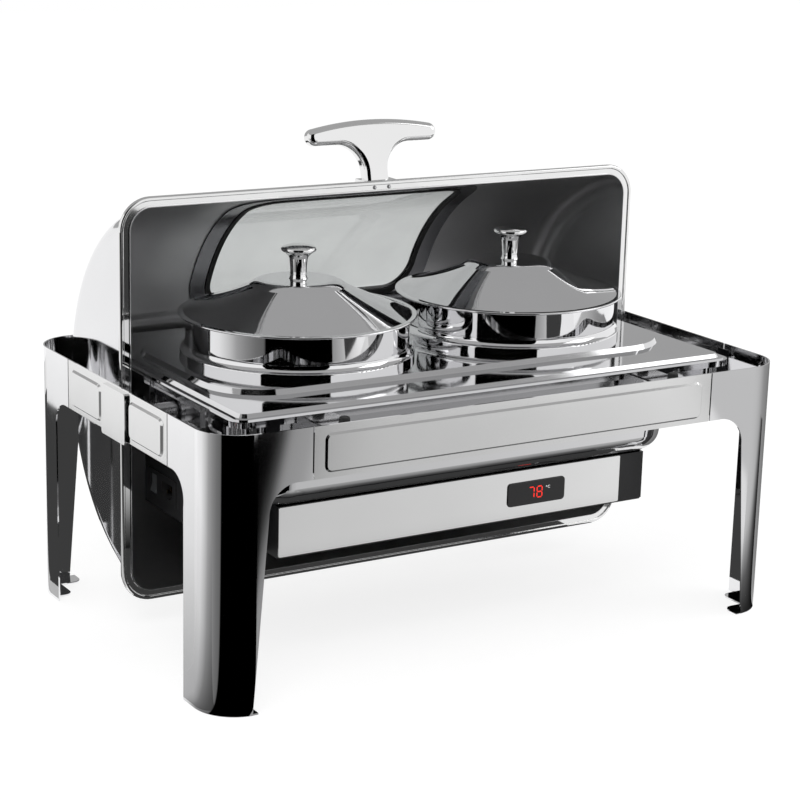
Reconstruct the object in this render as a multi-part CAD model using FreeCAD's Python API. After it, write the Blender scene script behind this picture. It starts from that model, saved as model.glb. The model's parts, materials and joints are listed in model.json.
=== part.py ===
import FreeCAD
import Part
import math
import os

# Electric roll-top food warmer: an open-sided stand of pressed sheet, a drum-shaped lid that
# rolls back over one axis through the side rails, a heated water pan with an adapter plate and
# two round soup pots with their own lids. Millimetres, +Z up, -Y is the serving side, and the
# origin is on the table under the middle of the stand. The lid is drawn rolled open.

V = FreeCAD.Vector
X_AXIS = V(1, 0, 0)
Y_AXIS = V(0, 1, 0)
Z_AXIS = V(0, 0, 1)
SIDES = (("left", -1), ("right", 1))

SHEET = 1.5          # stand and rails
THIN = 1.2           # pan, plate, pots and drum
AIR = 0.3            # gap between pieces that slide past or nest in one another

# Stand: the width, depth and height that everything else follows
STAND_W = 656.0
STAND_D = 428.0
STAND_H = 268.0
HALF_W = STAND_W / 2
HALF_D = STAND_D / 2
CORNER_R = 42.0
WING = 98.0          # how far each leg reaches along the rails, from the corner
SEAM = 1.5
RAIL_H = 50.0
FOOT_FRONT = 39.0    # leg width at the floor, seen from the front
KNEE_FRONT = 54.0    # and just under the flare
LEG_SIDE = 65.0
KNEE_Z = STAND_H - 80
FOOT_FLANGE = 21.0
FOOT_PLATE = 2.0
EMBOSS = 2.0
EMBOSS_LOW = 5.0     # border of the pressed field at the bottom of a rail
EMBOSS_HIGH = 7.5
EMBOSS_END = 11.0
EMBOSS_DRAFT = 2.0
EMBOSS_R = 7.0
PIVOT_PLATE_W = 54.0

# Roll-top drum, rolled open about the axis through the side rails
PIVOT_Z = STAND_H - 32
MOUTH_Y = 34.0       # the mouth's plane lies this far behind the axis while open
RIM_X = HALF_W - 21
RIM_HALF = HALF_D - 8.5
RIM_R = 33.0
RIM_T = 5.5
BEAD = 4.4           # rounded outer edge, standing proud of the flange inside it
BEAD_STEP = 1.2
DRUM_X = RIM_X - 10  # outer face of an end wall
DRUM_R = RIM_HALF - 6.5
DRUM_FILLET = 24.0
FAR = STAND_W        # longer than any cut has to reach
PIN_R = 6.0
ARM_T = 4.0
ARM_R = 15.0
ARM_REACH = 84.0
GRIP_X = -14.0       # the grip and the window sit a little left of the lid's middle
WINDOW_MID = 43.0    # degrees above horizontal of the window's middle, lid open
WINDOW_X = DRUM_X * 0.43
WINDOW_HALF = DRUM_R * 0.46
WINDOW_R = 32.0
SEAL_OUT = 2.2       # how far the seal laps over the drum, and over the glass
SEAL_IN = 3.2
GLASS_EDGE = 1.5
GLASS_T = 3.0
SURROUND = 17.0
HANDLE_LEAN = 13.0

# Water pan, plate, pots
PAN_Y = 5.0
PAN_X = HALF_W - 73
PAN_HALF = HALF_D - 62
PAN_R = 46.0
PAN_TAPER = 10.0
PAN_RIM_Z = STAND_H
PAN_BOTTOM = PAN_RIM_Z - 103
PAN_FILLET = 22.0
PAN_RIM_X = HALF_W - 39
PAN_RIM_HALF = HALF_D - 33
PAN_RIM_R = 17.0
PLATE_INSET = 4.0
LAND_INSET = 11.0
LAND_R = 8.0
LAND_H = 5.0
POT_R = (PAN_X - 41) / 2
POT_GAP = 40.0       # between the two pots, so that their lids clear each other
POT_X = POT_R + POT_GAP / 2
POT_BOTTOM = PAN_BOTTOM + 17
PLATFORM_H = 10.0
PLATFORM_X = PAN_RIM_X - 26
PLATFORM_HALF = POT_R + 14
PLATFORM_R = 62.0
COLLAR_WALL_R = POT_R + 5.5
COLLAR_R = COLLAR_WALL_R + 5.5
COLLAR_TOP = PAN_RIM_Z + 50
LID_R = POT_R + 13
LID_RISE = 33.0
PLATEAU_R = LID_R * 0.29
KNOB_H = 34.5
KNOB_R = 17.8
KNOB_STEM = 8.6

# Heater
HEATER_X = PAN_X - 38
HEATER_HALF = PAN_HALF - 26.5
HEATER_H = 50.5
HEATER_LOW = PAN_BOTTOM - HEATER_H
PANEL_X = HEATER_X - 31
LENS_X = PANEL_X - 105.7
LENS_Z = HEATER_LOW + 25.5
LENS_W = 70.0
LENS_H = 24.5
LENS_PROUD = 1.2
INLET_X = HEATER_X + 34
INLET_HALF = HEATER_HALF - 25.5
INLET_Y = INLET_HALF - 42
INLET_Z = HEATER_LOW + 24.5

os.makedirs("parts", exist_ok=True)


def save(name, *solids):
    shape = solids[0] if len(solids) == 1 else Part.makeCompound(list(solids))
    shape.exportStep("parts/" + name + ".step")


def box(x0, x1, y0, y1, z0, z1):
    low = V(min(x0, x1), min(y0, y1), min(z0, z1))
    return Part.makeBox(abs(x1 - x0), abs(y1 - y0), abs(z1 - z0), low)


def rod(start, end, r):
    a = V(*start)
    run = V(*end) - a
    return Part.makeCylinder(r, run.Length, a, run)


def fuse(first, *rest):
    out = first
    for other in rest:
        out = out.fuse(other)
    return out.removeSplitter()


def cut(first, *rest):
    out = first
    for other in rest:
        out = out.cut(other)
    return out


def rounded(half_u, half_v, r, at=(0, 0)):
    """A rounded rectangle in the XY plane."""
    u, v = at
    a, b = half_u - r, half_v - r
    c = r * math.sqrt(0.5)
    edges = []
    for su, sv in ((1, 1), (-1, 1), (-1, -1), (1, -1)):
        first = V(u + su * half_u, v + sv * b, 0)
        last = V(u + su * a, v + sv * half_v, 0)
        mid = V(u + su * (a + c), v + sv * (b + c), 0)
        if su * sv < 0:
            first, last = last, first
        edges.append((first, mid, last))
    out = []
    for n, (first, mid, last) in enumerate(edges):
        out.append(Part.Arc(first, mid, last).toShape())
        out.append(Part.makeLine(last, edges[(n + 1) % 4][0]))
    return Part.Wire(out)


def slab(wire, height, z=0.0):
    out = Part.Face(wire).extrude(V(0, 0, height))
    out.translate(V(0, 0, z))
    return out


def loft(low, z_low, high, z_high):
    low, high = low.copy(), high.copy()
    low.translate(V(0, 0, z_low))
    high.translate(V(0, 0, z_high))
    return Part.makeLoft([low, high], True, True)


def upright(shape, y):
    """Stands an XY shape up in XZ: what was thick along +Z now reaches from y towards -Y."""
    out = shape.copy()
    out.rotate(V(0, 0, 0), X_AXIS, 90)
    out.translate(V(0, y, 0))
    return out


def sideways(shape, x):
    """Turns an XY shape into YZ: what was thick along +Z now reaches from x towards +X."""
    out = shape.copy()
    out.rotate(V(0, 0, 0), V(1, 1, 1), 120)
    out.translate(V(x, 0, 0))
    return out


def mirror_x(shape):
    return shape.mirror(V(0, 0, 0), X_AXIS)


def mirror_y(shape):
    return shape.mirror(V(0, 0, 0), Y_AXIS)


def polygon(points):
    return Part.makePolygon([V(u, v, 0) for u, v in points] + [V(*points[0], 0)])


def turned(points, centre=(0, 0)):
    """A solid of revolution about Z from (r, z) points; a triple marks the middle of an arc."""
    edges = []
    here = V(points[0][0], 0, points[0][1])
    n = 1
    while n <= len(points):
        item = points[n % len(points)]
        if len(item) == 3:
            end = points[(n + 1) % len(points)]
            end = V(end[0], 0, end[1])
            edges.append(Part.Arc(here, V(item[0], 0, item[1]), end).toShape())
            n += 2
        else:
            end = V(item[0], 0, item[1])
            if (end - here).Length > 1e-6:
                edges.append(Part.makeLine(here, end))
            n += 1
        here = end
    out = Part.Face(Part.Wire(edges)).revolve(V(0, 0, 0), Z_AXIS, 360)
    out.translate(V(centre[0], centre[1], 0))
    return out


# ---------------------------------------------------------------- stand


def leg():
    """Front-left leg: one sheet bent round the corner, flared into the rails, foot turned in."""
    w, d = HALF_W, HALF_D
    outer = slab(rounded(w, d, CORNER_R), STAND_H)
    inner = slab(rounded(w - SHEET, d - SHEET, CORNER_R - SHEET), STAND_H)
    corner = box(-w, -w + WING, -d, -d + WING, 0, STAND_H)
    sheet = outer.cut(inner).common(corner)
    low = STAND_H - RAIL_H
    front = Part.Wire([
        Part.makeLine(V(-w + FOOT_FRONT, -1, 0), V(-w + KNEE_FRONT, KNEE_Z, 0)),
        Part.Arc(V(-w + KNEE_FRONT, KNEE_Z, 0), V(-w + KNEE_FRONT + 8, low - 9, 0),
                 V(-w + WING - 12, low, 0)).toShape(),
        Part.makeLine(V(-w + WING - 12, low, 0), V(-w + WING + 5, low, 0)),
        Part.makeLine(V(-w + WING + 5, low, 0), V(-w + WING + 5, -1, 0)),
        Part.makeLine(V(-w + WING + 5, -1, 0), V(-w + FOOT_FRONT, -1, 0)),
    ])
    front_gap = upright(slab(front, 2 * SHEET + 4), -d + 2 * SHEET + 2)
    side = Part.Wire([
        Part.makeLine(V(-d + LEG_SIDE, -1, 0), V(-d + LEG_SIDE, KNEE_Z, 0)),
        Part.Arc(V(-d + LEG_SIDE, KNEE_Z, 0), V(-d + LEG_SIDE + 6, low - 8, 0),
                 V(-d + WING - 8, low, 0)).toShape(),
        Part.makeLine(V(-d + WING - 8, low, 0), V(-d + WING + 5, low, 0)),
        Part.makeLine(V(-d + WING + 5, low, 0), V(-d + WING + 5, -1, 0)),
        Part.makeLine(V(-d + WING + 5, -1, 0), V(-d + LEG_SIDE, -1, 0)),
    ])
    side_gap = sideways(slab(side, 2 * SHEET + 4), -w - 2)
    sheet = cut(sheet, front_gap, side_gap)
    # the foot: both flanges turned in under the leg, leaving a notch between two round ends
    floor = slab(rounded(w - AIR, d - AIR, CORNER_R), FOOT_PLATE).common(
        fuse(slab(rounded(29, FOOT_FLANGE, 9, (-w + 16, -d)), FOOT_PLATE),
             slab(rounded(FOOT_FLANGE, 36, 9, (-w, -d + 18)), FOOT_PLATE)))
    return fuse(sheet, floor)


def pressed_panel(half, fields):
    """A rail's sheet in the XY plane: fields are (centre, half width) of the raised areas."""
    low, high = STAND_H - RAIL_H, STAND_H
    mid = (low + EMBOSS_LOW + high - EMBOSS_HIGH) / 2
    tall = (RAIL_H - EMBOSS_LOW - EMBOSS_HIGH) / 2
    panel = slab(rounded(half, RAIL_H / 2, 0.4, (0, (low + high) / 2)), SHEET, -SHEET)
    for centre, wide in fields:
        base = rounded(wide, tall, EMBOSS_R, (centre, mid))
        top = rounded(wide - EMBOSS_DRAFT, tall - EMBOSS_DRAFT,
                      EMBOSS_R - EMBOSS_DRAFT, (centre, mid))
        raised = loft(base, 0, top, EMBOSS)
        hollow = loft(base, -SHEET, top, EMBOSS - SHEET)
        panel = panel.fuse(raised).cut(hollow)
    return panel.removeSplitter()


one_leg = leg()
save("leg_front_left", one_leg)
save("leg_front_right", mirror_x(one_leg))
save("leg_back_left", mirror_y(one_leg))
save("leg_back_right", mirror_x(mirror_y(one_leg)))

front_half = HALF_W - WING - SEAM
side_half = HALF_D - WING - SEAM
front_rail = upright(pressed_panel(front_half, [(0, front_half - EMBOSS_END)]), -HALF_D)
save("rail_front", front_rail)
save("rail_back", mirror_y(front_rail))
field_in = PIVOT_PLATE_W / 2 + 6
field_out = side_half - 8
field = ((field_in + field_out) / 2, (field_out - field_in) / 2)
side_sheet = pressed_panel(side_half, [field, (-field[0], field[1])])
side_rail = sideways(side_sheet, HALF_W)
save("rail_right", side_rail)
save("rail_left", mirror_x(side_rail))

# smooth plates over the middle of the side rails, covering the lid's bearings
cover = sideways(slab(rounded(PIVOT_PLATE_W / 2, RAIL_H / 2, 3, (0, STAND_H - RAIL_H / 2 - 3)),
                      SHEET + EMBOSS - 0.5), HALF_W)
save("pivot_covers", cover, mirror_x(cover))

# straps welded behind each seam between a leg and a rail
straps = []
in_y = HALF_D - SHEET
in_x = HALF_W - SHEET
for sy in (-1, 1):
    for sx in (-1, 1):
        seam_x = sx * (HALF_W - WING - SEAM / 2)
        straps.append(box(seam_x - 9, seam_x + 9, sy * in_y, sy * (in_y - SHEET),
                          STAND_H - RAIL_H + 6, STAND_H - 6))
        seam_y = sy * (HALF_D - WING - SEAM / 2)
        straps.append(box(sx * in_x, sx * (in_x - SHEET), seam_y - 7, seam_y + 7,
                          STAND_H - RAIL_H + 6, STAND_H - 6))
save("seam_straps", *straps)

# ---------------------------------------------------------------- roll-top drum


def drum(grow=0.0):
    """The closed drum about the lid's axis, larger all round by grow."""
    r, x, f = DRUM_R + grow, DRUM_X + grow, DRUM_FILLET + grow
    c = f * math.sqrt(0.5)
    edges = [
        Part.makeLine(V(-x, 0, 0), V(-x, r - f, 0)),
        Part.Arc(V(-x, r - f, 0), V(-x + f - c, r - f + c, 0), V(-x + f, r, 0)).toShape(),
        Part.makeLine(V(-x + f, r, 0), V(x - f, r, 0)),
        Part.Arc(V(x - f, r, 0), V(x - f + c, r - f + c, 0), V(x, r - f, 0)).toShape(),
        Part.makeLine(V(x, r - f, 0), V(x, 0, 0)),
        Part.makeLine(V(x, 0, 0), V(-x, 0, 0)),
    ]
    out = Part.Face(Part.Wire(edges)).revolve(V(0, 0, 0), X_AXIS, 360)
    out.translate(V(0, 0, PIVOT_Z))
    return out


def ring_about_axis(r_in, r_out, half):
    """A tube about the lid's axis."""
    outer = rod((-half, 0, PIVOT_Z), (half, 0, PIVOT_Z), r_out)
    return outer.cut(rod((-half, 0, PIVOT_Z), (half, 0, PIVOT_Z), r_in))


def window_plug(grow):
    """A rounded block that pushes out through the drum where the window is."""
    plug = rounded(WINDOW_X + grow, WINDOW_HALF + grow, WINDOW_R + grow, (GRIP_X, 0))
    out = slab(plug, DRUM_R, DRUM_R / 2)
    out.rotate(V(0, 0, 0), X_AXIS, WINDOW_MID - 90)
    out.translate(V(0, 0, PIVOT_Z))
    return out


front_of_mouth = box(-FAR, FAR, -FAR, MOUTH_Y, -FAR, FAR)
shell = cut(drum(), drum(-THIN), front_of_mouth, window_plug(0))

rim = upright(slab(rounded(RIM_X, RIM_HALF, RIM_R, (0, PIVOT_Z)), RIM_T), MOUTH_Y + RIM_T)
rim_edges = [e for e in rim.Edges if abs(e.BoundBox.YLength) < 0.01]
rim = rim.makeFillet(BEAD / 2, rim_edges)
ledge = slab(rounded(RIM_X - BEAD, RIM_HALF - BEAD, RIM_R - BEAD, (0, PIVOT_Z)), BEAD_STEP)
rim = rim.cut(upright(ledge, MOUTH_Y + BEAD_STEP))
crest = [e for e in rim.Edges if e.BoundBox.YMax < MOUTH_Y + 0.01
         and abs(e.BoundBox.XMax) < RIM_X - BEAD + 0.1 and abs(e.BoundBox.XMin) < RIM_X - BEAD + 0.1
         and e.BoundBox.ZMax < PIVOT_Z + RIM_HALF - BEAD + 0.1
         and e.BoundBox.ZMin > PIVOT_Z - RIM_HALF + BEAD - 0.1]
rim = rim.makeFillet(BEAD_STEP * 0.8, crest)
rim = cut(rim, drum(AIR))

# the arms carry the drum from its end walls to the axis
arm = fuse(
    box(RIM_X + AIR, RIM_X + AIR + ARM_T, 0, ARM_REACH, PIVOT_Z - ARM_R, PIVOT_Z + ARM_R),
    rod((RIM_X + AIR, 0, PIVOT_Z), (RIM_X + AIR + ARM_T, 0, PIVOT_Z), ARM_R))
pad_y = MOUTH_Y + RIM_T + 1
arm = arm.makeFillet(6, [e for e in arm.Edges
                         if e.BoundBox.XLength > 1 and e.BoundBox.YMin > ARM_REACH - 1])
arm = fuse(arm, box(DRUM_X + AIR, RIM_X + AIR, pad_y, ARM_REACH - 4,
                    PIVOT_Z - ARM_R + 2, PIVOT_Z + ARM_R - 2))
arm = cut(arm, rod((DRUM_X / 2, 0, PIVOT_Z), (FAR, 0, PIVOT_Z), PIN_R + AIR))
RIVET_R = 3.0
rivets = []
for dy in (pad_y + 9, ARM_REACH - 13):
    hole = rod((DRUM_X / 2, dy, PIVOT_Z), (FAR, dy, PIVOT_Z), RIVET_R + AIR)
    arm = cut(arm, hole)
    shell = cut(shell, hole, mirror_x(hole))
    face = RIM_X + AIR + ARM_T
    head = turned([(0, 0), (6, 0), (4.6, 1.6, 0), (2, 2.2), (0, 2.2)])
    head.rotate(V(0, 0, 0), Y_AXIS, 90)
    head.translate(V(face, dy, PIVOT_Z))
    tail = rod((DRUM_X - THIN - 1.6, dy, PIVOT_Z), (DRUM_X - THIN, dy, PIVOT_Z), 5)
    rivet = fuse(rod((DRUM_X - THIN, dy, PIVOT_Z), (face, dy, PIVOT_Z), RIVET_R), head, tail)
    rivets += [rivet, mirror_x(rivet)]
save("lid_arm_right", arm)
save("lid_arm_left", mirror_x(arm))
save("arm_rivets", *rivets)
save("roll_top_shell", shell)

# window: glass in an H-section rubber seal, with a pressed steel surround inside the drum
r_in, r_out = DRUM_R - THIN, DRUM_R
glass_low = (r_in + r_out - GLASS_T) / 2
glass_band = ring_about_axis(glass_low, glass_low + GLASS_T, DRUM_X)
save("window_glass", glass_band.common(window_plug(-GLASS_EDGE)))
seal_band = ring_about_axis(r_in - 2.4, r_out + 2.4, DRUM_X)
seal = seal_band.common(window_plug(SEAL_OUT).cut(window_plug(-SEAL_IN)))
sheet_slot = ring_about_axis(r_in - AIR, r_out + AIR, DRUM_X + 1).cut(window_plug(-AIR))
glass_slot = ring_about_axis(glass_low - AIR, glass_low + GLASS_T + AIR, DRUM_X + 1).common(
    window_plug(AIR - GLASS_EDGE))
save("window_seal", cut(seal, sheet_slot, glass_slot))
surround_band = ring_about_axis(r_in - AIR - THIN, r_in - AIR, DRUM_X)
surround = window_plug(SEAL_OUT + 1 + SURROUND).cut(window_plug(SEAL_OUT + 1))
save("window_surround", surround_band.common(surround))

# handle: a cast T whose stem swells into an arched bar, its foot screwed through the rim
GRIP_GAP = 43.5      # from the rim up to the underside of the bar
GRIP_T = 18.0
GRIP_ARCH = 6.5
GRIP_HALF = 76.0
GRIP_DEEP = 18.0
GRIP_ROUND = 6.5
STEM_HALF = 14.0
STEM_FLARE = 29.0
foot_z = PIVOT_Z + math.sqrt(DRUM_R ** 2 - (MOUTH_Y + RIM_T) ** 2) + AIR


def tee():
    """The T-handle's outline in the XY plane, its foot at the origin."""
    low, high = GRIP_GAP, GRIP_GAP + GRIP_T
    end = GRIP_HALF - GRIP_T / 2
    slope = 2 * math.atan2(GRIP_ARCH, end)
    tip = V(end + GRIP_T / 2 * math.sin(slope), high - GRIP_T / 2 * (1 - math.cos(slope)), 0)
    turn = STEM_FLARE * (1 - math.sqrt(0.5))
    knee = low - STEM_FLARE
    bulge = V(end + GRIP_T / 2 * math.cos(slope / 2), low + GRIP_T / 2, 0)
    right = [
        (V(STEM_HALF, 0, 0), None, V(STEM_HALF, knee, 0)),
        (V(STEM_HALF, knee, 0), V(STEM_HALF + turn, low - turn, 0),
         V(STEM_HALF + STEM_FLARE, low, 0)),
        (V(STEM_HALF + STEM_FLARE, low, 0), None, V(end, low, 0)),
        (V(end, low, 0), bulge, tip),
    ]
    edges = []
    for side in (1, -1):
        for first, mid, last in right:
            first, last = V(side * first.x, first.y, 0), V(side * last.x, last.y, 0)
            if mid is None:
                edges.append(Part.makeLine(first, last))
            else:
                edges.append(Part.Arc(first, V(side * mid.x, mid.y, 0), last).toShape())
    edges.append(Part.Arc(tip, V(0, tip.y + GRIP_ARCH, 0), V(-tip.x, tip.y, 0)).toShape())
    edges.append(Part.makeLine(V(-STEM_HALF, 0, 0), V(STEM_HALF, 0, 0)))
    return Part.Wire(Part.__sortEdges__(edges))


handle = upright(slab(tee(), GRIP_DEEP), GRIP_DEEP / 2)
handle = handle.makeFillet(GRIP_ROUND, [e for e in handle.Edges if e.BoundBox.YLength < 0.01
                                        and e.BoundBox.ZMax > 1])
handle.rotate(V(0, 0, 0), X_AXIS, -HANDLE_LEAN)
foot_y = MOUTH_Y + RIM_T + GRIP_DEEP / 2
handle.translate(V(GRIP_X, foot_y, foot_z + 3))
over = box(-FAR, FAR, MOUTH_Y - 20, MOUTH_Y + RIM_T, foot_z - 20, foot_z + 100)
under = box(-FAR, FAR, MOUTH_Y - 20, FAR, foot_z - 20, foot_z)
handle = fuse(handle, box(GRIP_X - STEM_HALF - 5, GRIP_X + STEM_HALF + 5, MOUTH_Y + RIM_T,
                          foot_y + GRIP_DEEP / 2, foot_z, foot_z + 10))
handle = cut(handle, over, under)
screws = []
SCREW_R = 1.5
FLANGE_IN = math.sqrt(DRUM_R ** 2 - MOUTH_Y ** 2) + AIR
SCREW_Z = PIVOT_Z + (RIM_HALF - BEAD + FLANGE_IN) / 2
CAP_R = (RIM_HALF - BEAD - FLANGE_IN) / 2 - AIR
for screw_x in (GRIP_X - 8.5, GRIP_X + 8.5):
    bore = rod((screw_x, MOUTH_Y - 5, SCREW_Z), (screw_x, foot_y + 4, SCREW_Z), SCREW_R + AIR)
    handle = cut(handle, bore)
    rim = cut(rim, bore)
    cap = turned([(0, 0), (CAP_R, 0), (CAP_R * 0.85, 1.1, 0), (CAP_R * 0.4, 1.5), (0, 1.5)])
    cap.rotate(V(0, 0, 0), X_AXIS, 90)
    cap.translate(V(screw_x, MOUTH_Y + BEAD_STEP, SCREW_Z))
    screws.append(fuse(rod((screw_x, MOUTH_Y + BEAD_STEP, SCREW_Z),
                           (screw_x, foot_y + 3, SCREW_Z), SCREW_R), cap))
save("lid_handle", handle)
save("lid_rim", rim)
save("handle_screws", *screws)

# ---------------------------------------------------------------- axis, cradle and stops

CRADLE_X = PAN_RIM_X - 3
CRADLE_HALF = PAN_RIM_HALF - 4
CRADLE_R = 30.0
CRADLE_TOP = PAN_RIM_Z - THIN
CRADLE_LOW = PIVOT_Z - 16
FLANGE_T = 2.0
BEARING_HALF = 22.0
BEARING_BOSS = 12.0


def across(r):
    """A bar through the right half of the lid's axis, to bore the pieces that it carries."""
    return rod((DRUM_X / 2, 0, PIVOT_Z), (FAR, 0, PIVOT_Z), r)


bore = across(PIN_R + AIR)
boss_x = RIM_X + AIR + ARM_T + 1.7
bearing = fuse(box(in_x, in_x - 3, -BEARING_HALF, BEARING_HALF, PIVOT_Z - 15, PIVOT_Z + 20),
               rod((in_x, 0, PIVOT_Z), (boss_x, 0, PIVOT_Z), BEARING_BOSS))
bearing = cut(bearing, bore)
save("pivot_bearings", bearing, mirror_x(bearing))
pin = rod((in_x, 0, PIVOT_Z), (CRADLE_X - 7, 0, PIVOT_Z), PIN_R)
save("pivot_pins", pin, mirror_x(pin))
washer = cut(rod((boss_x - AIR / 2, 0, PIVOT_Z), (boss_x - 1.6, 0, PIVOT_Z), 11), bore)
sleeve = cut(rod((CRADLE_X, 0, PIVOT_Z), (RIM_X - 1, 0, PIVOT_Z), 9), bore)
NUT_R = 10.0
nut = sideways(slab(polygon([(NUT_R * math.cos(math.radians(a)),
                              PIVOT_Z + NUT_R * math.sin(math.radians(a)))
                             for a in range(0, 360, 60)]), 5), CRADLE_X - FLANGE_T - 5)
nut = cut(nut, bore)
save("pivot_washers", washer, mirror_x(washer))
save("pivot_sleeves", sleeve, mirror_x(sleeve))
save("pivot_nuts", nut, mirror_x(nut))

# the cradle: angle-section ring that the pan's rim sits on, hung on the pins and front brackets
skirt = slab(rounded(CRADLE_X, CRADLE_HALF, CRADLE_R, (0, PAN_Y)), CRADLE_TOP - CRADLE_LOW,
             CRADLE_LOW)
inside = slab(rounded(CRADLE_X - FLANGE_T, CRADLE_HALF - FLANGE_T, CRADLE_R - FLANGE_T,
                      (0, PAN_Y)), CRADLE_TOP - FLANGE_T - CRADLE_LOW + 1, CRADLE_LOW - 1)
well = slab(rounded(PAN_X + 5, PAN_HALF + 5, PAN_R + 5, (0, PAN_Y)), FAR)
skirt = cut(skirt, inside, well)
above_axis = box(-FAR, FAR, -FAR, FAR, 0, PIVOT_Z + 4).cut(
    box(-FAR, FAR, -BEARING_HALF - 4, BEARING_HALF + 4, 0, FAR))
skirt = cut(skirt, above_axis, bore, mirror_x(bore))
save("pan_cradle", skirt)

BRACKET_X = HALF_W - 138
BRACKET_HALF = 16.0
BRACKET_Z = STAND_H - 10
brackets = []
bumpers = []
for sx in (-1, 1):
    x0, x1 = sx * BRACKET_X - BRACKET_HALF, sx * BRACKET_X + BRACKET_HALF
    bracket = fuse(box(x0, x1, -in_y, -in_y + 2, STAND_H - RAIL_H + 6, BRACKET_Z + 2),
                   box(x0, x1, -in_y, PAN_Y - CRADLE_HALF, BRACKET_Z, BRACKET_Z + 2))
    brackets.append(bracket)
    bumper_top = PIVOT_Z + MOUTH_Y - AIR
    bumpers.append(turned([(0, BRACKET_Z + 2), (6, BRACKET_Z + 2), (5, bumper_top - 1),
                           (3.8, bumper_top), (0, bumper_top)],
                          (sx * BRACKET_X, -(RIM_HALF - 5))))
save("cradle_brackets", *brackets)

# shelves inside the side rails that the arms come down on when the lid is fully open
STOP_Y = 62.0
shelves = []
shelf_z = PIVOT_Z - ARM_R - 3
for sx in (-1, 1):
    shelf = fuse(box(sx * in_x, sx * (RIM_X + 1), STOP_Y - 10, STOP_Y + 10, shelf_z - 2,
                     shelf_z),
                 box(sx * in_x, sx * (in_x - 2), STOP_Y - 10, STOP_Y + 10, shelf_z,
                     shelf_z + 22))
    shelves.append(shelf)
    bumpers.append(box(sx * (in_x - 6), sx * (RIM_X + 1.5), STOP_Y - 7, STOP_Y + 7,
                       shelf_z, PIVOT_Z - ARM_R - AIR))
save("lid_stops", *shelves)
save("stop_bumpers", *bumpers)

# ---------------------------------------------------------------- water pan and plate


LIP_H = 6.0


def pan_block(grow):
    """The pan's tapered body with rounded bottom edges, smaller all round by -grow."""
    top = rounded(PAN_X + grow, PAN_HALF + grow, PAN_R + grow, (0, PAN_Y))
    low = rounded(PAN_X - PAN_TAPER + grow, PAN_HALF - PAN_TAPER + grow,
                  PAN_R - 6 + grow, (0, PAN_Y))
    body = loft(low, PAN_BOTTOM - grow, top, PAN_RIM_Z)
    edges = [e for e in body.Edges if e.BoundBox.ZMax < PAN_BOTTOM - grow + 0.1]
    return body.makeFillet(PAN_FILLET + grow, edges)


rim_outline = rounded(PAN_RIM_X, PAN_RIM_HALF, PAN_RIM_R, (0, PAN_Y))
lip = slab(rim_outline, LIP_H, PAN_RIM_Z - LIP_H)
lip = lip.cut(slab(rounded(PAN_RIM_X - THIN, PAN_RIM_HALF - THIN, PAN_RIM_R - THIN,
                           (0, PAN_Y)), LIP_H + 2, PAN_RIM_Z - LIP_H - 1))
pan = fuse(pan_block(0), slab(rim_outline, THIN, PAN_RIM_Z - THIN), lip)
above = slab(rounded(PAN_X - THIN, PAN_HALF - THIN, PAN_R - THIN, (0, PAN_Y)), 10, PAN_RIM_Z)
pan = cut(pan, pan_block(-THIN), above)
save("water_pan", pan)

land_x, land_half = PAN_RIM_X - LAND_INSET, PAN_RIM_HALF - LAND_INSET


def plate_form(drop):
    """The plate's two raised steps, lowered by drop."""
    step = loft(rounded(land_x + 3, land_half + 3, LAND_R + 3, (0, PAN_Y)), PAN_RIM_Z - drop,
                rounded(land_x, land_half, LAND_R, (0, PAN_Y)), PAN_RIM_Z + LAND_H - drop)
    top = loft(rounded(PLATFORM_X + 3, PLATFORM_HALF + 3, PLATFORM_R + 3, (0, PAN_Y)),
               PAN_RIM_Z + LAND_H - drop - 0.5,
               rounded(PLATFORM_X, PLATFORM_HALF, PLATFORM_R, (0, PAN_Y)),
               PAN_RIM_Z + PLATFORM_H - drop)
    return fuse(step, top)


plate_rim = slab(rounded(PAN_RIM_X - PLATE_INSET, PAN_RIM_HALF - PLATE_INSET,
                         PAN_RIM_R - PLATE_INSET, (0, PAN_Y)), THIN, PAN_RIM_Z)
plate = cut(fuse(plate_rim, plate_form(0)), plate_form(THIN))
for side, sx in SIDES:
    plate = cut(plate, rod((sx * POT_X, PAN_Y, PAN_RIM_Z / 2), (sx * POT_X, PAN_Y, FAR),
                           POT_R + THIN))
save("adapter_plate", plate)

# ---------------------------------------------------------------- pots and their lids

seat_z = PAN_RIM_Z + PLATFORM_H
rim_z = COLLAR_TOP + 1.4
ring_top = seat_z + 7
cove_top = seat_z + 15
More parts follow.
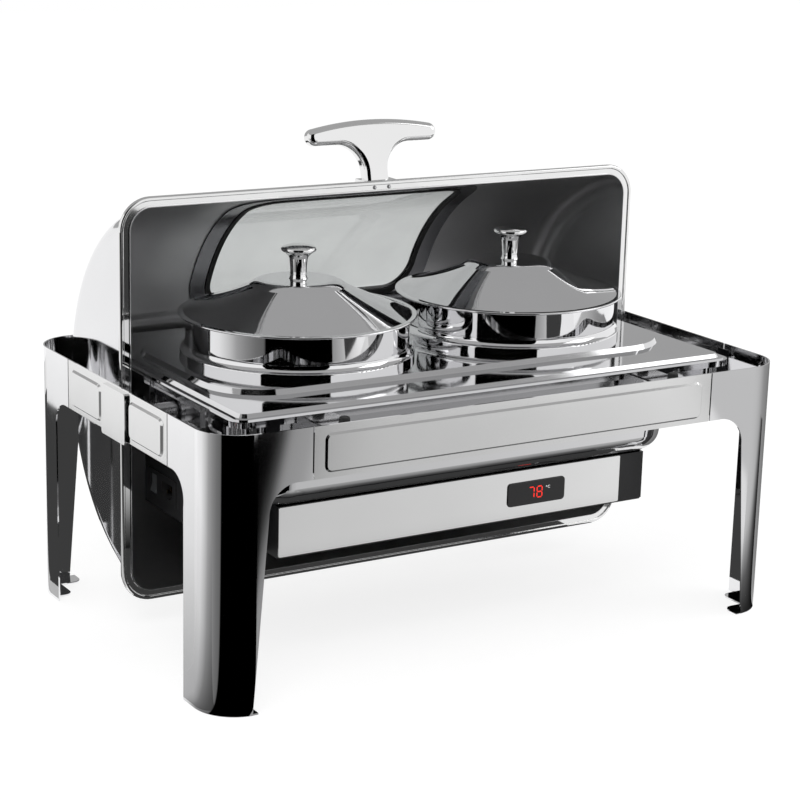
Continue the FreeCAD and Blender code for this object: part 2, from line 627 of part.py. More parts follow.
# collar: a straight wall on a coved ring, open underneath, with a flange that the pot hangs on
collar = turned([
    (COLLAR_R - THIN, seat_z), (COLLAR_R, seat_z), (COLLAR_R, ring_top - 1.5),
    (COLLAR_R - 0.4, ring_top - 0.4, 0), (COLLAR_R - 1.5, ring_top),
    (COLLAR_WALL_R + 1.2, ring_top + 2.6, 0), (COLLAR_WALL_R, cove_top),
    (COLLAR_WALL_R, COLLAR_TOP), (POT_R + 1, COLLAR_TOP), (POT_R + 1, COLLAR_TOP - THIN),
    (COLLAR_WALL_R - THIN, COLLAR_TOP - THIN), (COLLAR_WALL_R - THIN, cove_top),
    (COLLAR_WALL_R + 0.1, ring_top + 1.6, 0), (COLLAR_R - THIN - 1.5, ring_top - THIN),
    (COLLAR_R - THIN, ring_top - THIN - 1.5),
])
pot = turned([
    (0, POT_BOTTOM), (POT_R - 14, POT_BOTTOM), (POT_R - 4.1, POT_BOTTOM + 4.1, 0),
    (POT_R, POT_BOTTOM + 14), (POT_R, COLLAR_TOP), (POT_R + 6.5, COLLAR_TOP),
    (POT_R + 7.2, COLLAR_TOP + 0.7, 0), (POT_R + 6.5, rim_z), (POT_R - 2, rim_z),
    (POT_R - THIN, rim_z - 1.6), (POT_R - THIN, POT_BOTTOM + 14),
    (POT_R - 4.95, POT_BOTTOM + 4.95, 0), (POT_R - 14, POT_BOTTOM + THIN),
    (0, POT_BOTTOM + THIN),
])
lid_top = rim_z + 2.2
crown = lid_top + LID_RISE
shoulder = PLATEAU_R + 14
brim = LID_R - 5.5
# lid: a flat crown, a round shoulder and a hollow cone down to a level brim with a rolled edge
lid = turned([
    (3.3, crown - THIN), (3.3, crown), (PLATEAU_R, crown),
    (PLATEAU_R + 7.6, crown - 1.7, 0), (shoulder, crown - 6),
    ((shoulder + brim) / 2, crown - 0.64 * LID_RISE, 0), (brim, lid_top), (LID_R - 1, lid_top),
    (LID_R, lid_top - 1, 0), (LID_R - 0.6, lid_top - 2.2), (LID_R - 8, rim_z),
    (POT_R - 4.6, rim_z), (POT_R - 4.6, rim_z - 3), (POT_R - 5.8, rim_z - 3),
    (POT_R - 5.8, rim_z + 1.6), ((shoulder + brim) / 2 - 0.6, crown - 0.64 * LID_RISE - THIN, 0),
    (shoulder - 0.8, crown - 6 - THIN), (PLATEAU_R + 7, crown - 1.7 - THIN, 0),
    (PLATEAU_R, crown - THIN),
])
flare_z = crown + KNOB_H * 0.6
knob = turned([
    (0, crown + 8), (2.4, crown + 8), (2.4, crown), (KNOB_STEM + 1, crown),
    (KNOB_STEM + 0.2, crown + 1.6, 0), (KNOB_STEM - 0.3, crown + 6),
    (KNOB_STEM, crown + 13, 0), (KNOB_STEM + 0.8, flare_z),
    (KNOB_STEM + 3.2, flare_z + 3.6, 0), (KNOB_R - 1.4, flare_z + 7),
    (KNOB_R, flare_z + 9.2, 0), (KNOB_R - 2, crown + KNOB_H - 2),
    (KNOB_R * 0.5, crown + KNOB_H - 0.4, 0), (2, crown + KNOB_H), (0, crown + KNOB_H),
])
screw = turned([
    (0, crown + 7), (2.0, crown + 7), (2.0, crown - THIN), (4.4, crown - THIN),
    (3.8, crown - 3.2, 0), (1.5, crown - 4), (0, crown - 4),
])
for side, sx in SIDES:
    at = V(sx * POT_X, PAN_Y, 0)
    for name, shape in (("pot_collar_", collar), ("soup_pot_", pot), ("pot_lid_", lid),
                        ("lid_knob_", knob), ("knob_screw_", screw)):
        placed = shape.copy()
        placed.translate(at)
        save(name + side, placed)

# ---------------------------------------------------------------- heater under the pan

z0, z1 = HEATER_LOW, PAN_BOTTOM
housing = cut(box(-HEATER_X, HEATER_X, -HEATER_HALF, HEATER_HALF, z0, z1),
              box(-HEATER_X + THIN, HEATER_X - THIN, -HEATER_HALF + THIN,
                  HEATER_HALF - THIN, z0 - 1, z1 + 1))
EAR = 15.0
EAR_Y = HEATER_HALF - 45.5
STUD_R = 2.0
NUT_TALL = 3.2
studs = []
nuts = []
for sx in (-1, 1):
    for sy in (-1, 1):
        ear = slab(rounded(EAR / 2 + 2, 11, 5, (sx * (HEATER_X + EAR / 2 - 2), sy * EAR_Y)),
                   THIN, z1 - THIN)
        ear = ear.cut(box(-HEATER_X + THIN, HEATER_X - THIN, -HALF_D, HALF_D, z0, z1 + 1))
        at_x, at_y = sx * (HEATER_X + 6), sy * EAR_Y
        hole = rod((at_x, at_y, z0), (at_x, at_y, z1 + 5), STUD_R + AIR)
        housing = cut(fuse(housing, ear), hole)
        studs.append(rod((at_x, at_y, z1), (at_x, at_y, z1 - 10), STUD_R))
        hexagon = polygon([(at_x + 4.2 * math.cos(math.radians(a)),
                            at_y + 4.2 * math.sin(math.radians(a)))
                           for a in range(0, 360, 60)])
        nuts.append(slab(hexagon, NUT_TALL, z1 - THIN - NUT_TALL).cut(hole))
lens_mid = (LENS_X, LENS_Z)
lens_hole = upright(slab(rounded(LENS_W / 2 + AIR, LENS_H / 2 + AIR, 4 + AIR, lens_mid), 20),
                    -HEATER_HALF + 10)
LEAD_R = 6.0
lead_z = z0 + HEATER_H / 2
lead_hole = rod((-HEATER_X - 5, INLET_HALF * 0.4, lead_z), (-HEATER_X + 5, INLET_HALF * 0.4, lead_z),
                LEAD_R + 1)
housing = cut(housing, lens_hole, lead_hole)
save("heater_housing", housing)
save("pan_studs", *studs)
save("stud_nuts", *nuts)
base = slab(rounded(HEATER_X, HEATER_HALF, 3), THIN, z0 - THIN)
save("heater_base_cover", base)
panel_mid = (PANEL_X - HEATER_X) / 2
panel = upright(slab(rounded((PANEL_X + HEATER_X) / 2, HEATER_H / 2 - 0.5, 1.5,
                             (panel_mid, lead_z)), THIN), -HEATER_HALF)
save("heater_front_panel", cut(panel, lens_hole))
lens = upright(slab(rounded(LENS_W / 2, LENS_H / 2, 4, lens_mid), THIN * 2 + LENS_PROUD),
               -HEATER_HALF + THIN)
save("display_lens", lens)
lens_face = -HEATER_HALF - THIN - LENS_PROUD

DIGIT_W = 6.2
DIGIT_H = 11.5
DIGIT_STEP = 9.8
DIGIT_X = LENS_X + 3.5   # middle of the last digit
STROKE = 1.1


def segment(x, z, across):
    half = (DIGIT_W if across else DIGIT_H / 2) / 2 - 0.5
    t = STROKE / 2
    outline = [(-half, 0), (-half + t, t), (half - t, t), (half, 0), (half - t, -t),
               (-half + t, -t)]
    if not across:
        outline = [(v, u) for u, v in outline]
    return upright(slab(polygon([(x + u, z + v) for u, v in outline]), 0.4), lens_face)


digits = []
for x, lit in ((DIGIT_X - DIGIT_STEP, "abc"), (DIGIT_X, "abcdefg")):
    w, h = DIGIT_W / 2, DIGIT_H / 2
    places = {"a": (x, LENS_Z + h, True), "g": (x, LENS_Z, True), "d": (x, LENS_Z - h, True),
              "b": (x + w, LENS_Z + h / 2, False), "c": (x + w, LENS_Z - h / 2, False),
              "f": (x - w, LENS_Z + h / 2, False), "e": (x - w, LENS_Z - h / 2, False)}
    digits += [segment(*places[key]) for key in lit]
save("display_digits", *digits)


def circle(r, u, v):
    return slab(Part.Wire(Part.makeCircle(r, V(u, v, 0))), 0.4)


unit_x, unit_z = DIGIT_X + 8.6, LENS_Z + 3.8
ring_mark = circle(0.8, unit_x, unit_z + 0.7).cut(circle(0.4, unit_x, unit_z + 0.7))
c_mark = circle(1.6, unit_x + 3.2, unit_z).cut(circle(1.1, unit_x + 3.2, unit_z)).cut(
    box(unit_x + 3.8, unit_x + 6, unit_z - 0.8, unit_z + 0.8, -1, 1))
save("display_unit", upright(ring_mark, lens_face), upright(c_mark, lens_face))

behind = -HEATER_HALF + THIN + 5
board = box(LENS_X - 48, LENS_X + 47, behind, behind + 1.6, z0 + 6, z1 - 5)
save("control_board", board)
module = box(LENS_X - LENS_W / 2 + 3, LENS_X + LENS_W / 2 - 3, behind - 5, behind,
             LENS_Z - LENS_H / 2 + 2, LENS_Z + LENS_H / 2 - 2)
save("display_module", module)
HEAT_PLATE_T = 5.0
heat_plate = slab(rounded(HEATER_X - 15, HEATER_HALF - 17.5, 12), HEAT_PLATE_T,
                  z1 - HEAT_PLATE_T)
save("heating_plate", heat_plate)
posts = []
for sx in (-1, 1):
    for sy in (-1, 1):
        post_x, post_y = sx * (HEATER_X - 33), sy * (HEATER_HALF - 31.5)
        posts.append(rod((post_x, post_y, z0), (post_x, post_y, z1 - HEAT_PLATE_T), 5))
save("plate_posts", *posts)
ELEMENT_R = 4.0
element_z = z1 - HEAT_PLATE_T - ELEMENT_R - AIR
row_step = HEATER_HALF * 0.4
run = HEATER_X - 63
path = []
rows = [row_step * (n - 1.5) for n in range(4)]
for n, y in enumerate(rows):
    a, b = (-run, run) if n % 2 == 0 else (run, -run)
    path.append(Part.makeLine(V(a, y, element_z), V(b, y, element_z)))
    if n < len(rows) - 1:
        bulge = math.copysign(row_step / 2, b)
        path.append(Part.Arc(V(b, y, element_z), V(b + bulge, y + row_step / 2, element_z),
                             V(b, y + row_step, element_z)).toShape())
spine = Part.Wire(path)
profile = Part.Wire(Part.makeCircle(ELEMENT_R, V(-run, rows[0], element_z), X_AXIS))
save("heating_element", spine.makePipeShell([profile], True, False))
CLIP_HALF = 6.0
clips = []
for clip_x in (-run * 0.6, run * 0.6):
    for y in rows:
        x0, x1 = clip_x - CLIP_HALF, clip_x + CLIP_HALF
        strap = cut(rod((x0, y, element_z), (x1, y, element_z), ELEMENT_R + AIR + THIN),
                    rod((x0 - 1, y, element_z), (x1 + 1, y, element_z), ELEMENT_R + AIR),
                    box(x0 - 1, x1 + 1, y - 20, y + 20, element_z, element_z + 20))
        wings = [box(x0, x1, y + s * (ELEMENT_R + AIR), y + s * (ELEMENT_R + AIR + THIN),
                     element_z - 0.1, z1 - HEAT_PLATE_T) for s in (-1, 1)]
        clips.append(fuse(strap, *wings))
save("element_clips", *clips)

# power inlet box on the left end
inlet_box = cut(box(-INLET_X, -HEATER_X, -INLET_HALF, INLET_HALF, z0, z1 - 1),
                box(-INLET_X + 2, -HEATER_X + 1, -INLET_HALF + 2, INLET_HALF - 2,
                    z0 + 2, z1 - 3))
for sy in (-1, 1):
    inlet_box = cut(inlet_box, box(-HEATER_X - EAR - 3, -HEATER_X + 1, sy * EAR_Y - 13,
                                   sy * EAR_Y + 13, z1 - 8, z1 + 1))
inlet_box = cut(inlet_box, box(-INLET_X - 1, -INLET_X + 3, INLET_Y - 30.3, INLET_Y + 30.3,
                               INLET_Z - 12.3, INLET_Z + 12.3))
save("inlet_housing", inlet_box)

inlet_flange = sideways(slab(rounded(33, 15, 3, (INLET_Y, INLET_Z)), 2), -INLET_X - 2)
inlet_body = box(-INLET_X, -INLET_X + 24, INLET_Y - 30, INLET_Y + 30, INLET_Z - 12,
                 INLET_Z + 12)
inlet = fuse(inlet_flange, inlet_body)
SOCKET_Y = INLET_Y - 14
socket = polygon([(SOCKET_Y - 12, INLET_Z + 8), (SOCKET_Y + 12, INLET_Z + 8),
                  (SOCKET_Y + 12, INLET_Z - 3), (SOCKET_Y + 7, INLET_Z - 8),
                  (SOCKET_Y - 7, INLET_Z - 8), (SOCKET_Y - 12, INLET_Z - 3)])
ROCKER_Y = INLET_Y + 17
inlet = cut(inlet, sideways(slab(socket, 17), -INLET_X - 2.5),
            box(-INLET_X - 3, -INLET_X + 12, ROCKER_Y - 7, ROCKER_Y + 7, INLET_Z - 10.5,
                INLET_Z + 10.5))
save("power_inlet", inlet)
pins = []
for dy, dz in ((-7, -2.5), (0, 2.5), (7, -2.5)):
    x_back = -INLET_X + 14.5
    pins.append(box(x_back, x_back - 13, SOCKET_Y + dy - 1, SOCKET_Y + dy + 1,
                    INLET_Z + dz - 2, INLET_Z + dz + 2))
save("inlet_pins", *pins)
ROCKER_TILT = 7.0
rocker_x = -INLET_X + 3.5
rocker = upright(slab(polygon([(0, -9), (-5.5, -9.4), (-4.2, 0), (-5.5, 9.4), (0, 9),
                               (5, 4), (5, -4)]), 12.6), 6.3)
rocker.rotate(V(0, 0, 0), Y_AXIS, ROCKER_TILT)
rocker.translate(V(rocker_x, ROCKER_Y, INLET_Z))
axle = rod((rocker_x, ROCKER_Y - 7, INLET_Z), (rocker_x, ROCKER_Y + 7, INLET_Z), 1.5)
rocker = cut(rocker, rod((rocker_x, ROCKER_Y - 8, INLET_Z), (rocker_x, ROCKER_Y + 8, INLET_Z),
                         1.5 + AIR))
save("switch_rocker", rocker)
save("switch_axle", axle)
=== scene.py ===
import json
import math

import bpy
from mathutils import Matrix, Vector


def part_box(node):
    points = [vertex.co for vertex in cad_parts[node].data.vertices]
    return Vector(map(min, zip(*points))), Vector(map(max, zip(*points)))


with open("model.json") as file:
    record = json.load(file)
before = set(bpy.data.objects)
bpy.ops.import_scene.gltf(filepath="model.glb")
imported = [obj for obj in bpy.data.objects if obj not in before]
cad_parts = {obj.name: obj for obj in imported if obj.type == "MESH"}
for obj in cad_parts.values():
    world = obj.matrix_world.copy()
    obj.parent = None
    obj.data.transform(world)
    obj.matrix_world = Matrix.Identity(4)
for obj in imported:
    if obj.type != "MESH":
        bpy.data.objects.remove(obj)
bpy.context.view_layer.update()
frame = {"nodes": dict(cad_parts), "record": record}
nodes = frame["nodes"]

scene = bpy.context.scene
scene.view_settings.view_transform = "Standard"

# ---------------------------------------------------------------- node helpers


def new_material(name):
    """A new material, its node tree and its Principled shader."""
    mat = bpy.data.materials.new(name)
    mat.use_nodes = True
    tree = mat.node_tree
    shader = tree.nodes["Principled BSDF"]
    return mat, tree, shader


def add(tree, kind, **values):
    """Adds a node and sets its named inputs and settings."""
    node = tree.nodes.new(kind)
    for key, value in values.items():
        if key in node.inputs:
            node.inputs[key].default_value = value
        else:
            setattr(node, key, value)
    return node


def feed(tree, target, value):
    """Links a socket into an input, or sets the input to a plain value."""
    if isinstance(value, bpy.types.NodeSocket):
        tree.links.new(value, target)
    else:
        target.default_value = value


def maths(tree, operation, *values):
    """The result of a Math node."""
    node = add(tree, "ShaderNodeMath", operation=operation)
    for target, value in zip(node.inputs, values):
        feed(tree, target, value)
    return node.outputs[0]


def vectors(tree, operation, *values):
    """The result of a Vector Math node."""
    node = add(tree, "ShaderNodeVectorMath", operation=operation)
    for target, value in zip(node.inputs, values):
        feed(tree, target, value)
    return node.outputs["Value" if operation == "LENGTH" else "Vector"]


def combine(tree, **parts):
    """A vector made of named components."""
    node = add(tree, "ShaderNodeCombineXYZ")
    for axis, source in parts.items():
        tree.links.new(source, node.inputs[axis])
    return node.outputs["Vector"]


def noise(tree, scale, detail=3.0, stretch=(1, 1, 1)):
    """Object-space noise from 0 to 1, stretched along the axes."""
    coord = add(tree, "ShaderNodeTexCoord")
    mapping = add(tree, "ShaderNodeMapping")
    mapping.inputs["Scale"].default_value = stretch
    texture = add(tree, "ShaderNodeTexNoise", Scale=scale, Detail=detail)
    tree.links.new(coord.outputs["Object"], mapping.inputs["Vector"])
    tree.links.new(mapping.outputs["Vector"], texture.inputs["Vector"])
    return texture.outputs["Fac"]


def ramp(tree, source, low, high):
    """Maps the middle of a 0 to 1 value to the range between two colours."""
    node = add(tree, "ShaderNodeValToRGB")
    start, end = node.color_ramp.elements
    start.position = 0.3
    end.position = 0.7
    start.color = (*low, 1)
    end.color = (*high, 1)
    tree.links.new(source, node.inputs["Fac"])
    return node.outputs["Color"]


def spread(tree, source, low, high):
    """Maps a 0 to 1 value to a range."""
    node = add(tree, "ShaderNodeMapRange")
    node.inputs["To Min"].default_value = low
    node.inputs["To Max"].default_value = high
    tree.links.new(source, node.inputs["Value"])
    return node.outputs["Result"]


def bump(tree, shader, height, strength, distance):
    """Fine relief on a surface."""
    node = add(tree, "ShaderNodeBump", Strength=strength, Distance=distance)
    tree.links.new(height, node.inputs["Height"])
    tree.links.new(node.outputs["Normal"], shader.inputs["Normal"])


def seen_by(tree, *kinds):
    """One when the ray is any of the kinds of ray named, else zero."""
    path = add(tree, "ShaderNodeLightPath")
    total = path.outputs[kinds[0]]
    for kind in kinds[1:]:
        total = maths(tree, "MAXIMUM", total, path.outputs[kind])
    return total


# ---------------------------------------------------------------- the object's materials


def steel(name, shade, rough, grain=(1, 1, 1)):
    """Polished or satin stainless: faint smears in the polish, and a grain along the sheet."""
    mat, tree, shader = new_material(name)
    shader.inputs["Metallic"].default_value = 1.0
    smear = noise(tree, 9.0, 4.0)
    darker = tuple(c * 0.96 for c in shade)
    feed(tree, shader.inputs["Base Color"], ramp(tree, smear, darker, shade))
    line = noise(tree, 60.0, 5.0, grain)
    feed(tree, shader.inputs["Roughness"], spread(tree, line, *rough))
    return mat


def plastic(name, low, high, rough, scale=900.0, depth=0.00004):
    """Moulded plastic or enamel with a fine even grain."""
    mat, tree, shader = new_material(name)
    fine = noise(tree, scale, 2.0)
    feed(tree, shader.inputs["Base Color"], ramp(tree, fine, low, high))
    feed(tree, shader.inputs["Roughness"], spread(tree, fine, *rough))
    bump(tree, shader, fine, 0.3, depth)
    return mat


def glowing(name, colour, strength):
    """Glowing surfaces: lit display segments, and a painted glow on the white mark, which is no
    lamp; a fine noise varies the brightness.
    """
    mat, tree, shader = new_material(name)
    fine = noise(tree, 700.0, 1.0)
    tint = ramp(tree, fine, tuple(c * 0.8 for c in colour), colour)
    feed(tree, shader.inputs["Base Color"], tint)
    feed(tree, shader.inputs["Emission Color"], tint)
    shader.inputs["Emission Strength"].default_value = strength
    return mat


def glass(name):
    """The window's tinted glass, faintly smeared."""
    mat, tree, shader = new_material(name)
    smear = noise(tree, 12.0, 4.0)
    tint = ramp(tree, smear, (0.50, 0.515, 0.51), (0.57, 0.585, 0.58))
    feed(tree, shader.inputs["Base Color"], tint)
    feed(tree, shader.inputs["Roughness"], spread(tree, smear, 0.0, 0.03))
    shader.inputs["Transmission Weight"].default_value = 1.0
    shader.inputs["IOR"].default_value = 1.45
    return mat


SHEET_T = 0.0014     # just over the drum's sheet
DRUM_EDGE = 0.024    # outer radius of the drum's rounded ends


def drum_outside(tree):
    """One on the drum's outer face and zero on its inner face.

    A point lies on the outer face when it is nearly the edge's radius away from the core that
    the rounded ends are struck from.
    """
    low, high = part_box("roll_top_shell")
    coord = add(tree, "ShaderNodeTexCoord")
    split = add(tree, "ShaderNodeSeparateXYZ")
    tree.links.new(coord.outputs["Object"], split.inputs["Vector"])
    rise = maths(tree, "SUBTRACT", split.outputs["Z"], (high[2] + low[2]) / 2)
    radius = vectors(tree, "LENGTH", combine(tree, Y=split.outputs["Y"], Z=rise))
    width = maths(tree, "ABSOLUTE", split.outputs["X"])
    core = (high[0] - DRUM_EDGE, high[1] - DRUM_EDGE, 0)
    beyond = vectors(tree, "SUBTRACT", combine(tree, X=width, Y=radius), core)
    past = vectors(tree, "MAXIMUM", beyond, (0, 0, 0))
    away = vectors(tree, "LENGTH", past)
    return maths(tree, "GREATER_THAN", away, DRUM_EDGE - SHEET_T / 2)


def drum_sheet(name):
    """The roll-top's sheet: bright polish outside; inside, a painted shade darkens its colour,
    and the finish there is a rougher satin.
    """
    mat = steel(name, (0.80, 0.80, 0.81), (0.05, 0.09), (0.03, 1, 1))
    tree = mat.node_tree
    shader = tree.nodes["Principled BSDF"]
    colour = shader.inputs["Base Color"]
    rough = shader.inputs["Roughness"]
    outside = drum_outside(tree)
    # painted shade: the inner face's colour is darkened to 0.56 against the outer polish
    inside_painted_shade = add(tree, "ShaderNodeMix", data_type="RGBA")
    inside_painted_shade.inputs["A"].default_value = (0.56, 0.56, 0.565, 1)
    feed(tree, inside_painted_shade.inputs["Factor"], outside)
    feed(tree, inside_painted_shade.inputs["B"], colour.links[0].from_socket)
    feed(tree, colour, inside_painted_shade.outputs["Result"])
    satin = spread(tree, outside, 0.30, 0.0)
    feed(tree, rough, maths(tree, "ADD", rough.links[0].from_socket, satin))
    return mat


def grey(level, blue=0.0):
    """A grey with a trace of blue."""
    return level, level, level + blue


POLISH = (0.02, 0.05)
ALONG_X = (0.05, 1, 1)
STEELS = {
    "polished_steel": (grey(0.78, 0.01), POLISH),
    "leg_steel": (grey(0.87, 0.01), (0.03, 0.06), (1, 1, 0.05)),
    "rail_steel": (grey(0.80), (0.08, 0.14), ALONG_X),
    "rim_steel": (grey(0.80), POLISH),
    "pan_steel": (grey(0.76, 0.01), POLISH, ALONG_X),
    "cradle_steel": (grey(0.60, 0.01), (0.03, 0.06)),
    "plate_steel": (grey(0.72, 0.01), (0.04, 0.08)),
    "pot_steel": (grey(0.80, 0.01), POLISH),
    "lid_steel": (grey(0.76, 0.01), POLISH),
    "cast_steel": (grey(0.84), (0.04, 0.08)),
    "surround_steel": (grey(0.24, 0.01), (0.12, 0.20), ALONG_X),
    "panel_steel": (grey(0.88), (0.06, 0.10), (0.03, 1, 1)),
    "plain_steel": (grey(0.50, 0.01), (0.22, 0.32)),
    # dark_steel is painted shade: steel made nearly black for parts in shadow, such as the seam
    # straps
    "dark_steel": (grey(0.03, 0.002), (0.30, 0.42)),
    "plate_aluminium": (grey(0.70, 0.01), (0.30, 0.42)),
    "pin_brass": ((0.78, 0.62, 0.35), (0.15, 0.25)),
}
PLASTICS = {
    "black_sheet": (grey(0.010, 0.001), grey(0.018, 0.002), (0.28, 0.38)),
    "black_plastic": (grey(0.030, 0.001), grey(0.045, 0.002), (0.30, 0.42)),
    "grey_plastic": ((0.20, 0.21, 0.22), (0.26, 0.27, 0.28), (0.25, 0.35)),
    "dark_lens": (grey(0.004, 0.001), (0.007, 0.006, 0.007), (0.04, 0.08), 300.0, 0.0),
    "black_rubber": (grey(0.010), grey(0.018), (0.55, 0.70)),
    "board_green": ((0.03, 0.16, 0.07), (0.05, 0.22, 0.10), (0.30, 0.45)),
}

materials = {name: steel(name, *finish) for name, finish in STEELS.items()}
materials.update({name: plastic(name, *finish) for name, finish in PLASTICS.items()})
materials["drum_steel"] = drum_sheet("drum_steel")
materials["clear_glass"] = glass("clear_glass")
materials["red_digits"] = glowing("red_digits", (0.80, 0.03, 0.02), 1.2)
# painted glow: the white mark is no lamp, yet it is given a faint glow
materials["white_mark"] = glowing("white_mark", grey(0.8), 0.4)

slot_of = {part["node"]: part["material_slot"] for part in frame["record"]["subparts"]}
for name, obj in nodes.items():
    for slot in obj.material_slots:
        slot.material = materials[slot_of[name]]

# ---------------------------------------------------------------- floor, lamps and world

VISIBLE_RAYS = ("Is Camera Ray", "Is Glossy Ray", "Is Transmission Ray")
FLOOR_HALF = 7.0
FLOOR_Z = -0.0005


def link(name, data):
    """A new object in the scene."""
    obj = bpy.data.objects.new(name, data)
    scene.collection.objects.link(obj)
    return obj


def floor_material():
    """Pale paper: white to the camera and in reflections, still taking the soft shadow."""
    mat, tree, shader = new_material("paper")
    grain = noise(tree, 40.0, 2.0)
    feed(tree, shader.inputs["Base Color"], ramp(tree, grain, grey(0.27), grey(0.28)))
    shader.inputs["Roughness"].default_value = 0.9
    shader.inputs["Specular IOR Level"].default_value = 0.0
    shader.inputs["Emission Color"].default_value = (1, 1, 1, 1)
    glow = spread(tree, seen_by(tree, *VISIBLE_RAYS), 0.0, 0.80)
    feed(tree, shader.inputs["Emission Strength"], glow)
    return mat


def add_floor():
    """The floor, just under the feet."""
    reach = FLOOR_HALF
    corners = [(-reach, -reach, 0), (reach, -reach, 0), (reach, reach, 0), (-reach, reach, 0)]
    mesh = bpy.data.meshes.new("floor")
    mesh.from_pydata(corners, [], [(0, 1, 2, 3)])
    mesh.materials.append(floor_material())
    obj = link("floor", mesh)
    obj.location = (0, 0, FLOOR_Z)


def area(name, centre, power):
    """A large soft lamp that faces the dish."""
    data = bpy.data.lights.new(name, "AREA")
    data.shape = "RECTANGLE"
    data.size = 1.6
    data.size_y = 1.6
    data.energy = power
    obj = link(name, data)
    obj.location = centre
    away = Vector(centre) - Vector((0, 0, 0.2))
    obj.rotation_euler = away.to_track_quat("Z", "Y").to_euler()


def add_world():
    """A plain world: white to the camera and in reflections, a little lower as a light."""
    world = bpy.data.worlds.new("studio")
    scene.world = world
    world.use_nodes = True
    tree = world.node_tree
    background = tree.nodes["Background"]
    background.inputs["Color"].default_value = (1, 1, 1, 1)
    level = spread(tree, seen_by(tree, *VISIBLE_RAYS), 0.75, 1.0)
    feed(tree, background.inputs["Strength"], level)


# ---------------------------------------------------------------- cards


def card_material(name, stops, kind="LINEAR", fades=False):
    """A card that only glows: its level runs through (place, level) stops.

    A linear card runs along its own X axis and a radial one turns about its own origin. One that
    fades is black, and the stops say how much of what lies under it shows.
    """
    mat, tree, shader = new_material(name)
    coord = add(tree, "ShaderNodeTexCoord")
    gradient = add(tree, "ShaderNodeTexGradient", gradient_type=kind)
    tree.links.new(coord.outputs["Object"], gradient.inputs["Vector"])
    drift = spread(tree, noise(tree, 1.5, 1.0), -0.001, 0.001)
    place = maths(tree, "ADD", gradient.outputs["Fac"], drift)
    shades = add(tree, "ShaderNodeValToRGB")
    tree.links.new(place, shades.inputs["Fac"])
    points = shades.color_ramp.elements
    while len(points) < len(stops):
        points.new(0.5)
    for point, (at, level) in zip(points, stops):
        point.position = at
        point.color = (*grey(level), 1)
    shader.inputs["Base Color"].default_value = (0, 0, 0, 1)
    shader.inputs["Specular IOR Level"].default_value = 0.0
    shader.inputs["Roughness"].default_value = 1.0
    if fades:
        feed(tree, shader.inputs["Alpha"], spread(tree, shades.outputs["Color"], 1.0, 0.0))
    else:
        feed(tree, shader.inputs["Emission Color"], shades.outputs["Color"])
        shader.inputs["Emission Strength"].default_value = 1.0
    return mat


def even_material(name, level):
    """A card of one level."""
    return card_material(name, [(0.0, level), (1.0, level)])


def card(name, points, material, origin=(0, 0), turn=0):
    """A card that only reflections see, with its own axes turned about a point on the table."""
    place = Matrix.Translation((*origin, 0)) @ Matrix.Rotation(math.radians(turn), 4, "Z")
    back = place.inverted()
    mesh = bpy.data.meshes.new(name)
    mesh.from_pydata([back @ Vector(point) for point in points], [], [range(len(points))])
    mesh.materials.append(material)
    obj = link(name, mesh)
    obj.matrix_world = place
    obj.visible_camera = False
    obj.visible_diffuse = False
    obj.visible_shadow = False
    obj.visible_transmission = False


def lying(height, *outline):
    """A flat outline at a height over the table."""
    return [(x, y, height) for x, y in outline]


def upright(start, end, low, high):
    """A standing rectangle over a line on the table."""
    return [(*start, low), (*end, low), (*end, high), (*start, high)]


# the cards on the table, one just over the other
PALE_Z = 0.0005
TABLE_Z = 0.0007
SHADE_Z = 0.0009
DARK_Z = 0.0013

CAMERA_AZ = 31.70
LEFT_LEG = (-0.286, -0.172)
RIGHT_LEG = (0.286, -0.172)
FRONT_Y = -0.20
FAR_Y = -1.09
EDGE_Y = -2.6
FAR_RIGHT = (1.037, FAR_Y)
ROOM_Z = 2.4
ROOM_X = (-3, 4)
ROOM_Y = 3
WALL_Y = 2.6
BEHIND_LEFT = (-2.1, -1.0)
BEHIND_RIGHT = (0, -2.3)


def leg_cards():
    """Each front leg has a card that turns about its corner.

    The left one runs from white behind to black in front, and the right one from pale in front
    to dark beside the leg.
    """
    outline = lying(PALE_Z, LEFT_LEG, (-1.9, 1.6), (-3.0, 1.0), (-3.0, -2.3), (0.0, -2.3),
                    (0.0, -1.12), (0.205, FAR_Y), (-0.275, -0.214))
    shades = card_material("left_leg_card", [
        (0.283, 1.0), (0.328, 0.92), (0.367, 0.64), (0.394, 0.40), (0.428, 0.27),
        (0.458, 0.185), (0.487, 0.14), (0.491, 0.0)], "RADIAL")
    card("card_left_leg", outline, shades, LEFT_LEG, 210)
    outline = lying(PALE_Z, (RIGHT_LEG[0], FRONT_Y), FAR_RIGHT, (1.6, -0.9), (1.6, 0.0),
                    (1.2, 0.9), (0.33, -0.15))
    shades = card_material("right_leg_card", [
        (0.363, 0.575), (0.39, 0.55), (0.418, 0.50), (0.474, 0.31), (0.529, 0.25),
        (0.585, 0.19)], "RADIAL")
    card("card_right_leg", outline, shades, RIGHT_LEG)


def front_cards():
    """In front of the dish the table brightens to the right, and more so far off."""
    outline = lying(TABLE_Z, (-0.30, FRONT_Y), (0.19, FAR_Y), FAR_RIGHT, (RIGHT_LEG[0], FRONT_Y))
    shades = card_material("table_card", [
        (0.104, 0.0), (0.115, 0.05), (0.126, 0.31), (0.150, 0.35), (0.168, 0.50),
        (0.233, 0.61), (0.431, 0.69), (0.654, 0.82), (0.712, 0.82), (0.722, 0.575)])
    turn = math.radians(CAMERA_AZ)
    start = (-0.5 * math.cos(turn), -0.5 * math.sin(turn))
    card("card_table", outline, shades, start, CAMERA_AZ)
    outline = lying(PALE_Z, (0.0, FAR_Y), (0.0, EDGE_Y), (1.6, EDGE_Y), FAR_RIGHT)
    shades = card_material("far_card", [(0.0, 0.32), (0.23, 0.5), (0.47, 0.8), (0.70, 1.0)])
    card("card_far", outline, shades)


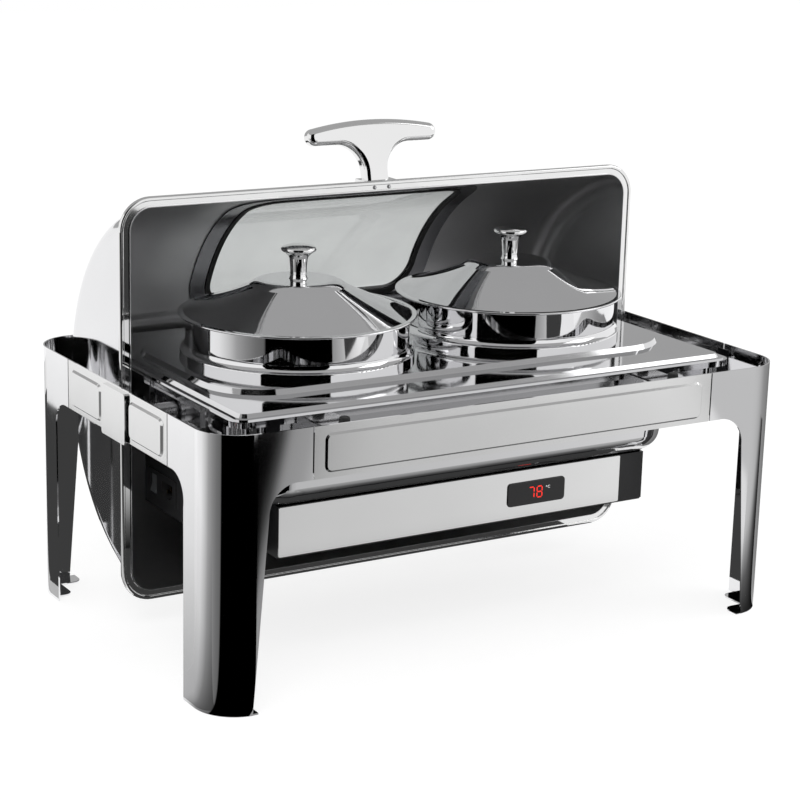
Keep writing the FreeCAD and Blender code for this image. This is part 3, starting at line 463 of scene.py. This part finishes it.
def shade_cards():
    """Close to the dish the table is in its shadow."""
    outline = lying(SHADE_Z, (-0.27, FRONT_Y), (1.1, FRONT_Y), (1.1, -0.45), (-0.14, -0.45))
    shades = card_material("front_shade", [(0.20, 0.0), (0.28, 0.2), (0.40, 0.9), (0.45, 1.0)],
                           fades=True)
    card("card_shade_front", outline, shades, turn=-90)
    outline = lying(SHADE_Z, (-0.33, FRONT_Y), (-0.33, 1.2), (-0.85, 1.2), (-0.85, FRONT_Y))
    shades = card_material("left_shade", [(0.36, 0.5), (0.53, 0.78), (0.83, 1.0)], fades=True)
    card("card_shade_left", outline, shades, turn=180)


def dark_cards():
    """Dark fields: a painted shadow under the dish, and dark fields on its left, far in front
    and behind the camera's left.
    """
    black = even_material("black_card", 0.0)
    dark = even_material("dark_card", 0.05)
    card("card_left", lying(DARK_Z, (-0.34, 0.02), (-0.60, 0.44), (-0.63, 1.00), (-0.36, 1.00)),
         dark)
    # card_under is the dish's shadow on the table, painted as a dark card that only reflections
    # see
    card("card_under", lying(DARK_Z, (-0.30, FRONT_Y), (0.30, FRONT_Y), (0.30, -FRONT_Y),
                             (-0.30, -FRONT_Y)), dark)
    # the left end of the drum's rim sees this one
    card("card_far_left", lying(SHADE_Z, (0.30, -1.24), (0.62, -1.24), (0.74, -1.38),
                                (0.74, EDGE_Y), (0.30, EDGE_Y)), dark)
    # the inner face of the back left leg sees this one: painted shade, a dark sheet standing in
    # for the shade under the dish in that face's reflection
    card("card_flag", upright((-0.318, 0.202), (-0.25, 0.202), 0.06, 0.195), dark)
    card("card_behind", upright(BEHIND_LEFT, BEHIND_RIGHT, 0, ROOM_Z), black)


def room_cards():
    """What reflections see of the room above and behind is grey."""
    room = even_material("room_card", 0.42)
    left, right = ROOM_X
    card("card_ceiling", lying(ROOM_Z, (left, -ROOM_Y), (right, -ROOM_Y), (right, ROOM_Y),
                               (left, ROOM_Y)), room)
    card("card_wall", upright((-1.2, WALL_Y), (right, WALL_Y), 0.5, ROOM_Z), room)


add_floor()
leg_cards()
front_cards()
shade_cards()
dark_cards()
room_cards()
add_world()
area("key", (-1.6, -1.8, 2.6), 30)
area("fill", (2.2, -1.2, 2.0), 14)

# ---------------------------------------------------------------- camera

CAMERA_EL = 14.74
CAMERA_ROLL = 1.5
CAMERA_AT = (-1.1434, -1.8396, 0.7853)
SENSOR_MM = 36.0
LENS_MM = 96.8085


def add_camera():
    """The camera: from the front left and a little above, and slightly rolled."""
    az, el, roll = (math.radians(a) for a in (CAMERA_AZ, CAMERA_EL, CAMERA_ROLL))
    ahead = Vector((math.sin(az) * math.cos(el), math.cos(az) * math.cos(el), -math.sin(el)))
    level_right = Vector((math.cos(az), -math.sin(az), 0))
    level_up = level_right.cross(ahead)
    right = level_right * math.cos(roll) + level_up * math.sin(roll)
    up = level_up * math.cos(roll) - level_right * math.sin(roll)
    data = bpy.data.cameras.new("camera")
    data.sensor_width = SENSOR_MM
    data.lens = LENS_MM
    data.clip_end = 50.0
    obj = link("camera", data)
    axes = zip(right, up, -ahead, CAMERA_AT)
    obj.matrix_world = Matrix([*axes, (0, 0, 0, 1)])
    scene.camera = obj


add_camera()
